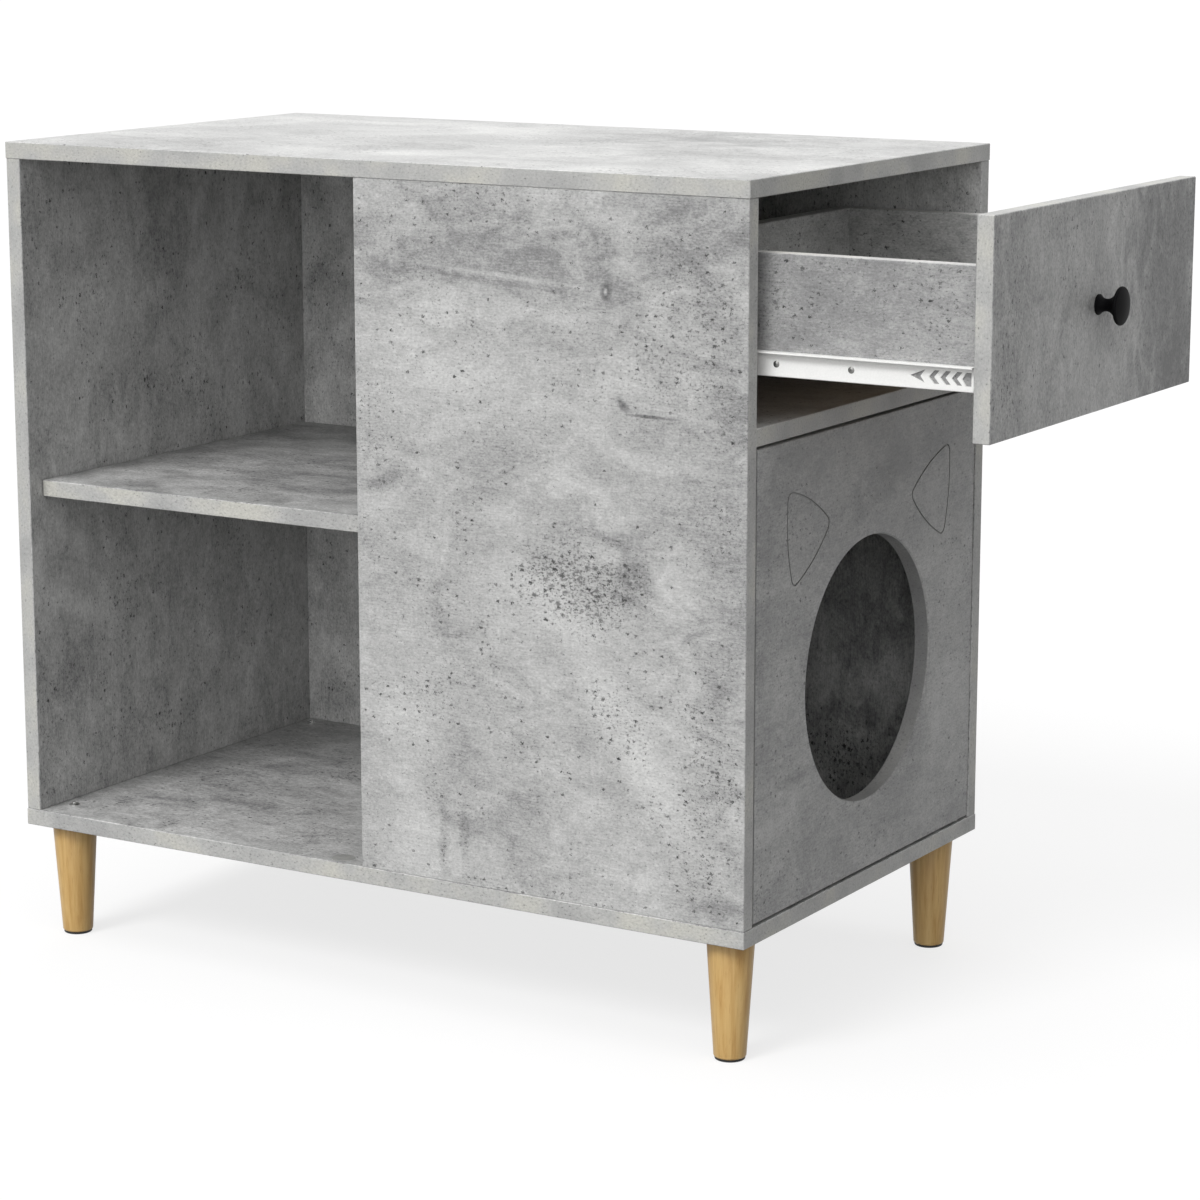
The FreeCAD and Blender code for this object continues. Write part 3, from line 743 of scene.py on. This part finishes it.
def screw(foot, along, head, height, shank, length, outline, depth):
    """Dome-headed screw from the bottom of its recess, over the dome, down the shank to a blunt point.

    head and shank are radii. The dome's height is rim + (height - rim) * (1 - share of the radius ** 2).
    """
    rim = RIM_SHARE * height
    curve = np.linspace(DOME_START, 1, 9)
    dome = np.stack([head * curve, rim + (height - rim) * (1 - curve**2)], axis=1)
    recess = [(0, height - depth), (0, height - depth), (0, height - RECESS_TOP)]
    body = [(head, 0), (shank, 0), (shank, -length + shank), (TIP_SHARE * shank, -length), (0, -length)]
    return turned(np.concatenate([recess, dome, body]), foot, along, {1: outline, 2: outline})


# %% Legs, pads and bolts
LEG_BOLT = dict(head=5.0, height=2.6, shank=3.0, length=35.0, outline=hexagon(4.0), depth=1.4)
leg_low, leg_high = (np.array(corner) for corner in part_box("legs"))
bolt_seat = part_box("bottom_panel")[1].z
for side_x, across in ((-1, "left"), (1, "right")):
    for side_y, row in ((-1, "front"), (1, "back")):
        axis_x = side_x * (leg_high[0] - LEG_TOP * MM)
        axis_y = side_y * (leg_high[1] - LEG_TOP * MM)
        name = f"{row}_{across}"
        # Each leg is cut from its own place in the wood
        cut_from = np.array([0.11 * side_x, 0.07 * side_y, 0.3 * side_x + 0.17 * side_y])
        piece("leg_" + name, [turned(leg_profile, (axis_x, axis_y, leg_low[2]), (0, 0, 1))],
              "carcass", lacquered_wood, ["legs"], local=cut_from - (axis_x, axis_y, 0))
        piece("foot_pad_" + name, [turned(pad_profile, (axis_x, axis_y, 0), (0, 0, 1))],
              "carcass", pad_rubber, ["leg_pads"])
        piece("leg_bolt_" + name, [screw((axis_x, axis_y, bolt_seat), (0, 0, 1), **LEG_BOLT)],
              "carcass", bright_zinc, ["leg_bolts"])
print("legs, pads and bolts: 4 of each")

# %% [markdown]
# ## Knob
# The black knob is a mushroom: a flange against the drawer, a neck that narrows and flares again, and a
# nearly flat head with a soft rim. Its outline is one smooth curve, so it is drawn as a flange, a neck
# whose radius is a flaring curve of the height, and two arcs for the rim and crown. A machine screw
# holds it from inside the drawer.

# %% Outline of the knob
FLANGE_RADIUS, FLANGE_HEIGHT, FLANGE_ROUND = 8.5, 1.7, 0.6
NECK_START, NECK_LENGTH = 1.9, 16.6
NECK_RADIUS, NECK_FOOT, NECK_FLARE = 4.4, 3.4, 10.2
FOOT_POWER, FLARE_POWER = 5, 3.2
RIM_CENTRE, RIM_ROUND = (14.4, 20.1), 1.6
CROWN_RADIUS, CROWN_RISE, KNOB_HEIGHT = 14.9, 1.9, 23.6
rise = np.linspace(0, 1, 28)
neck = NECK_RADIUS + NECK_FOOT * (1 - rise) ** FOOT_POWER + NECK_FLARE * rise**FLARE_POWER
neck_profile = np.stack([neck, NECK_START + NECK_LENGTH * rise], axis=1)
crown_radius = np.linspace(CROWN_RADIUS, 0, 16)
crown = np.stack([crown_radius, KNOB_HEIGHT - CROWN_RISE * (crown_radius / CROWN_RADIUS) ** 2], axis=1)
knob_profile = np.concatenate([
    [(0, 0), (FLANGE_RADIUS, 0)],
    arc((FLANGE_RADIUS - FLANGE_ROUND, FLANGE_HEIGHT - FLANGE_ROUND), FLANGE_ROUND, 0, 80, 6),
    neck_profile,
    arc(RIM_CENTRE, RIM_ROUND, -75, 75, 12),
    crown,
])
print("rows in the outline of the knob:", len(knob_profile))

# %% Knob and its screw
KNOB_SCREW = dict(head=4.2, height=2.2, shank=1.9, length=18.0, outline=cross(0.7, 1.3), depth=1.3)
knob_low, knob_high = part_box("knob")
knob_foot = (knob_low.x, (knob_low.y + knob_high.y) / 2, (knob_low.z + knob_high.z) / 2)
piece("knob_mushroom", [turned(knob_profile, knob_foot, (1, 0, 0), steps=96)],
      "drawer", black_coat, ["knob"])
drawer_back_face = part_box("drawer_front")[0].x
piece("knob_screw", [screw((drawer_back_face, knob_foot[1], knob_foot[2]), (-1, 0, 0), **KNOB_SCREW)],
      "drawer", zinc)
print("knob stands out", round((knob_high.x - knob_low.x) / MM, 1), "mm")

# %% [markdown]
# ## Rollers, rivets and screws of the runners
# A nylon roller has a hub, a thinner web and a rounded tread, so its profile is a closed loop. It turns
# on a domed rivet. The runners are held by cross-head screws, whose heads sit low so that the rollers
# pass over them.

# %% Outlines of rollers and rivets
ROLLER_RADIUS, ROLLER_WIDTH, BORE = 8.5, 6.0, 2.55
HUB, WEB_INNER, WEB_OUTER, TREAD, WEB_DEPTH, TREAD_ROUND = 4.4, 4.7, 6.6, 6.9, 0.9, 0.7
RIVET_RADIUS, RIVET_LENGTH, RIVET_HEAD, RIVET_DOME, RIVET_TOP = 2.5, 7.8, 3.9, 0.8, 8.6
RIVET_START = 1.5
half_roller = np.concatenate([
    [(BORE, 0), (HUB, 0), (WEB_INNER, WEB_DEPTH), (WEB_OUTER, WEB_DEPTH), (TREAD, 0)],
    arc((ROLLER_RADIUS - TREAD_ROUND, TREAD_ROUND), TREAD_ROUND, -90, 0, 6),
])
other_half = half_roller[::-1] * (1, -1) + (0, ROLLER_WIDTH)
roller_profile = np.concatenate([half_roller, other_half])
rivet_curve = np.linspace(1, 0, 8)
rivet_profile = np.concatenate([
    [(0, 0), (RIVET_RADIUS, 0), (RIVET_RADIUS, RIVET_LENGTH)],
    np.stack([RIVET_HEAD * rivet_curve, RIVET_TOP - RIVET_DOME * rivet_curve**3], axis=1),
])
print("rows in the outlines of a roller and a rivet:", len(roller_profile), len(rivet_profile))

# %% Rollers on their rivets
for carrier, parent in (("cabinet", "carcass"), ("drawer", "drawer")):
    for row, side in (("front", -1), ("back", 1)):
        low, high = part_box(f"{carrier}_roller_{row}")
        outward = side if carrier == "drawer" else -side
        start_y = low.y if outward > 0 else high.y
        centre = np.array([(low.x + high.x) / 2, start_y, (low.z + high.z) / 2])
        axle = np.array([0, outward, 0])
        piece(f"roller_{carrier}_{row}", [turned(roller_profile, centre, axle)],
              f"{carrier}_roller_{row}", nylon, [f"{carrier}_roller_{row}"], loop=True)
        piece(f"rivet_{carrier}_{row}", [turned(rivet_profile, centre - RIVET_START * MM * axle, axle)],
              parent, zinc, [f"{carrier}_roller_axles"])
print("rollers and rivets: 4 of each")

# %% Screws of the runners
RUNNER_SCREW = dict(head=2.7, height=1.2, shank=1.5, length=12.0, outline=cross(0.45, 1.0), depth=0.7)
STEEL = 1.2 * MM
# Places in mm behind the drawer's front board and behind the open end of the cabinet's channel
DRAWER_SCREWS = (110, 177, 244)
CABINET_SCREWS = (40, 130, 280)
runner_low, runner_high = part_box("drawer_runner_back")
runner_z = (runner_low.z + runner_high.z) / 2
drawer_web_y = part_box("drawer_side_back")[1].y + STEEL
cabinet_web_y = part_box("back_panel")[0].y - STEEL
channel_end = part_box("cabinet_runner_back")[1].x
for row, side in (("front", -1), ("back", 1)):
    for number, behind in enumerate(DRAWER_SCREWS, 1):
        foot = (drawer_back_face - behind * MM, side * drawer_web_y, runner_z)
        piece(f"drawer_runner_screw_{row}_{number}", [screw(foot, (0, side, 0), **RUNNER_SCREW)],
              "drawer", dull_nickel)
    for number, behind in enumerate(CABINET_SCREWS, 1):
        foot = (channel_end - behind * MM, side * cabinet_web_y, runner_z)
        piece(f"cabinet_runner_screw_{row}_{number}", [screw(foot, (0, -side, 0), **RUNNER_SCREW)],
              "carcass", dull_nickel)
print("runner screws:", 2 * (len(DRAWER_SCREWS) + len(CABINET_SCREWS)))

# %% [markdown]
# ## Screws of the catch
# A magnetic catch holds the cat door shut. Two screws go up through its tabs into the deck, and two more
# hold its steel strike plate inside the door. They are made like the runners' screws, in other sizes.

# %% Screws of the catch and the strike plate
CATCH_SCREW = dict(head=3.0, height=1.6, shank=1.5, length=13.0, outline=cross(0.5, 1.1), depth=0.9)
STRIKE_SCREW = dict(head=2.4, height=0.9, shank=1.3, length=11.0, outline=cross(0.4, 0.9), depth=0.5)
TAB_THICK, TAB_INSET, STRIKE_INSET = 2.6 * MM, 5 * MM, 3.2 * MM
catch_low, catch_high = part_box("magnetic_catch")
for number, tab_y in enumerate((catch_low.y + TAB_INSET, catch_high.y - TAB_INSET), 1):
    foot = ((catch_low.x + catch_high.x) / 2, tab_y, catch_high.z - TAB_THICK)
    piece(f"catch_screw_{number}", [screw(foot, (0, 0, -1), **CATCH_SCREW)],
          "carcass", zinc)
strike_low, strike_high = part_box("strike_plate")
for number, end_y in enumerate((strike_low.y + STRIKE_INSET, strike_high.y - STRIKE_INSET), 1):
    foot = (strike_low.x, end_y, (strike_low.z + strike_high.z) / 2)
    piece(f"strike_screw_{number}", [screw(foot, (-1, 0, 0), **STRIKE_SCREW)],
          "cat_door", zinc)
print("screws of the catch and the strike plate: 2 of each")

# %% [markdown]
# ## Round cover on the base
# A thin self-adhesive disc covers a fixing in the bottom panel, next to the front panel. It is printed
# like the board but a little plainer, and its edge is softened so that it catches a thin line of light.

# %% Cover sticker
COVER_RADIUS, COVER_THICK, COVER_ROUND = 10.4, 0.3, 0.25
FROM_FRONT_PANEL, FROM_BASE_EDGE = 29.3 * MM, 14 * MM
cover_foot = (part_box("front_panel")[0].x - FROM_FRONT_PANEL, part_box("bottom_panel")[0].y + FROM_BASE_EDGE,
              bolt_seat)
cover_profile = np.concatenate([
    [(0, 0), (COVER_RADIUS, 0)],
    arc((COVER_RADIUS - COVER_ROUND, COVER_THICK - COVER_ROUND), COVER_ROUND, 0, 90, 5),
    [(0, COVER_THICK)],
])
piece("cover_sticker", [turned(cover_profile, cover_foot, (0, 0, 1))],
      "carcass", cover_vinyl)
print("cover sticker", 2 * COVER_RADIUS, "mm across")

# %% [markdown]
# ## Floor, light and camera
# The photograph is a studio picture on white. A broad lamp stands in front, to the left and above, a
# wider one overhead lights the top, and a weak one from the front right fills the side. The room gives
# a little even light, more of it from the front. The floor and the room are white only for what the
# camera and shiny surfaces see, so the white adds no light to the cabinet, and the floor keeps a soft
# shadow. A weak lamp behind keeps the back readable, and the photograph's view doesn't see it.


# %% Rays that see white
def sees_white(tree):
    """1 for a ray from the camera or off a shiny or clear surface, and 0 for a ray of diffuse light."""
    seen = node(tree, "ShaderNodeLightPath").outputs
    sees = seen["Is Camera Ray"]
    for kind in ("Is Glossy Ray", "Is Transmission Ray"):
        sees = node(tree, "ShaderNodeMath", {0: sees, 1: seen[kind]}, operation="MAXIMUM").outputs[0]
    return sees


# %% Floor
# Paint gives a white that glows for the most part and still takes the cabinet's soft shadow
FLOOR_HALF = 30
GLOW_SHARE = 0.75
UNSEEN_PAINT, SEEN_PAINT = "#6a6a6a", "#f4f4f4"
floor_paint, tree, shader = blank("white_studio_floor")
white_ray = sees_white(tree)
share = node(tree, "ShaderNodeMath", {0: white_ray, 1: GLOW_SHARE}, operation="MULTIPLY").outputs[0]
paint = node(tree, "ShaderNodeMix", {0: white_ray, 6: linear(UNSEEN_PAINT), 7: linear(SEEN_PAINT)},
             data_type="RGBA").outputs[2]
matt = node(tree, "ShaderNodeBsdfDiffuse", {"Color": paint}).outputs[0]
white = node(tree, "ShaderNodeEmission", {"Color": (1, 1, 1, 1), "Strength": 1.0}).outputs[0]
mixed = node(tree, "ShaderNodeMixShader", {0: share, 1: matt, 2: white}).outputs[0]
tree.links.new(mixed, tree.nodes["Material Output"].inputs["Surface"])
tree.nodes.remove(shader)
floor_mesh = bpy.data.meshes.new("studio_floor")
floor_corners = FLOOR_HALF * np.array([(-1, -1, 0), (1, -1, 0), (1, 1, 0), (-1, 1, 0)])
floor_mesh.from_pydata(floor_corners.tolist(), [], [(0, 1, 2, 3)])
floor_mesh.materials.append(floor_paint)
floor = bpy.data.objects.new("studio_floor", floor_mesh)
bpy.context.scene.collection.objects.link(floor)
print("floor", 2 * FLOOR_HALF, "m wide")

# %% Room
ROOM_LIGHT, BRIGHT_SIDE = 0.12, 0.8
BRIGHTEST = ROOM_LIGHT + BRIGHT_SIDE
TO_BRIGHT_SIDE = (0.2, -0.88, 0.43)
room = bpy.data.worlds.new("studio_room")
room.use_nodes = True
tree = room.node_tree
tree.nodes.clear()
heading = node(tree, "ShaderNodeTexCoord").outputs["Generated"]
bright = node(tree, "ShaderNodeVectorMath", {0: heading, 1: TO_BRIGHT_SIDE},
              operation="DOT_PRODUCT").outputs["Value"]
bright = node(tree, "ShaderNodeMapRange", {0: bright, 3: ROOM_LIGHT, 4: BRIGHTEST}).outputs[0]
strength = node(tree, "ShaderNodeMix", {0: sees_white(tree), 2: bright, 3: 1.0}).outputs[0]
sky = node(tree, "ShaderNodeBackground", {"Color": (1, 1, 1, 1), "Strength": strength}).outputs[0]
node(tree, "ShaderNodeOutputWorld", {"Surface": sky})
bpy.context.scene.world = room
print("room light from", ROOM_LIGHT, "to", BRIGHTEST)


# %% Lamps
def lamp(name, strength, spread, turn, height):
    """Broad distant lamp: turn is degrees to the left of straight ahead, height is degrees above level."""
    data = bpy.data.lights.new(name, "SUN")
    data.energy = strength
    data.angle = math.radians(spread)
    made = bpy.data.objects.new(name, data)
    made.rotation_euler = (math.radians(90 - height), 0, math.radians(-turn))
    bpy.context.scene.collection.objects.link(made)
    return made


lamp("softbox", strength=1.74, spread=20, turn=12, height=43)
lamp("overhead", strength=1.1, spread=60, turn=0, height=89)
lamp("front_fill", strength=0.75, spread=60, turn=-15, height=8)
lamp("back_fill", strength=0.8, spread=60, turn=165, height=12).visible_glossy = False
print("lamps:", len(bpy.data.lights))

# %% Camera
LENS_MM, SENSOR_MM = 106.89, 36
CAMERA_PLACE = (1.7361, -2.6758, 0.9804)
LOOK_DOWN, TURN_LEFT = 11.685, 31.314
camera_data = bpy.data.cameras.new("camera")
camera_data.lens = LENS_MM
camera_data.sensor_width = SENSOR_MM
camera_data.sensor_fit = "HORIZONTAL"
camera = bpy.data.objects.new("camera", camera_data)
camera.location = CAMERA_PLACE
camera.rotation_euler = (math.radians(90 - LOOK_DOWN), 0, math.radians(TURN_LEFT))
bpy.context.scene.collection.objects.link(camera)
bpy.context.scene.camera = camera
bpy.context.scene.view_settings.view_transform = "Standard"
print("camera sees", round(math.degrees(camera_data.angle), 1), "degrees across")
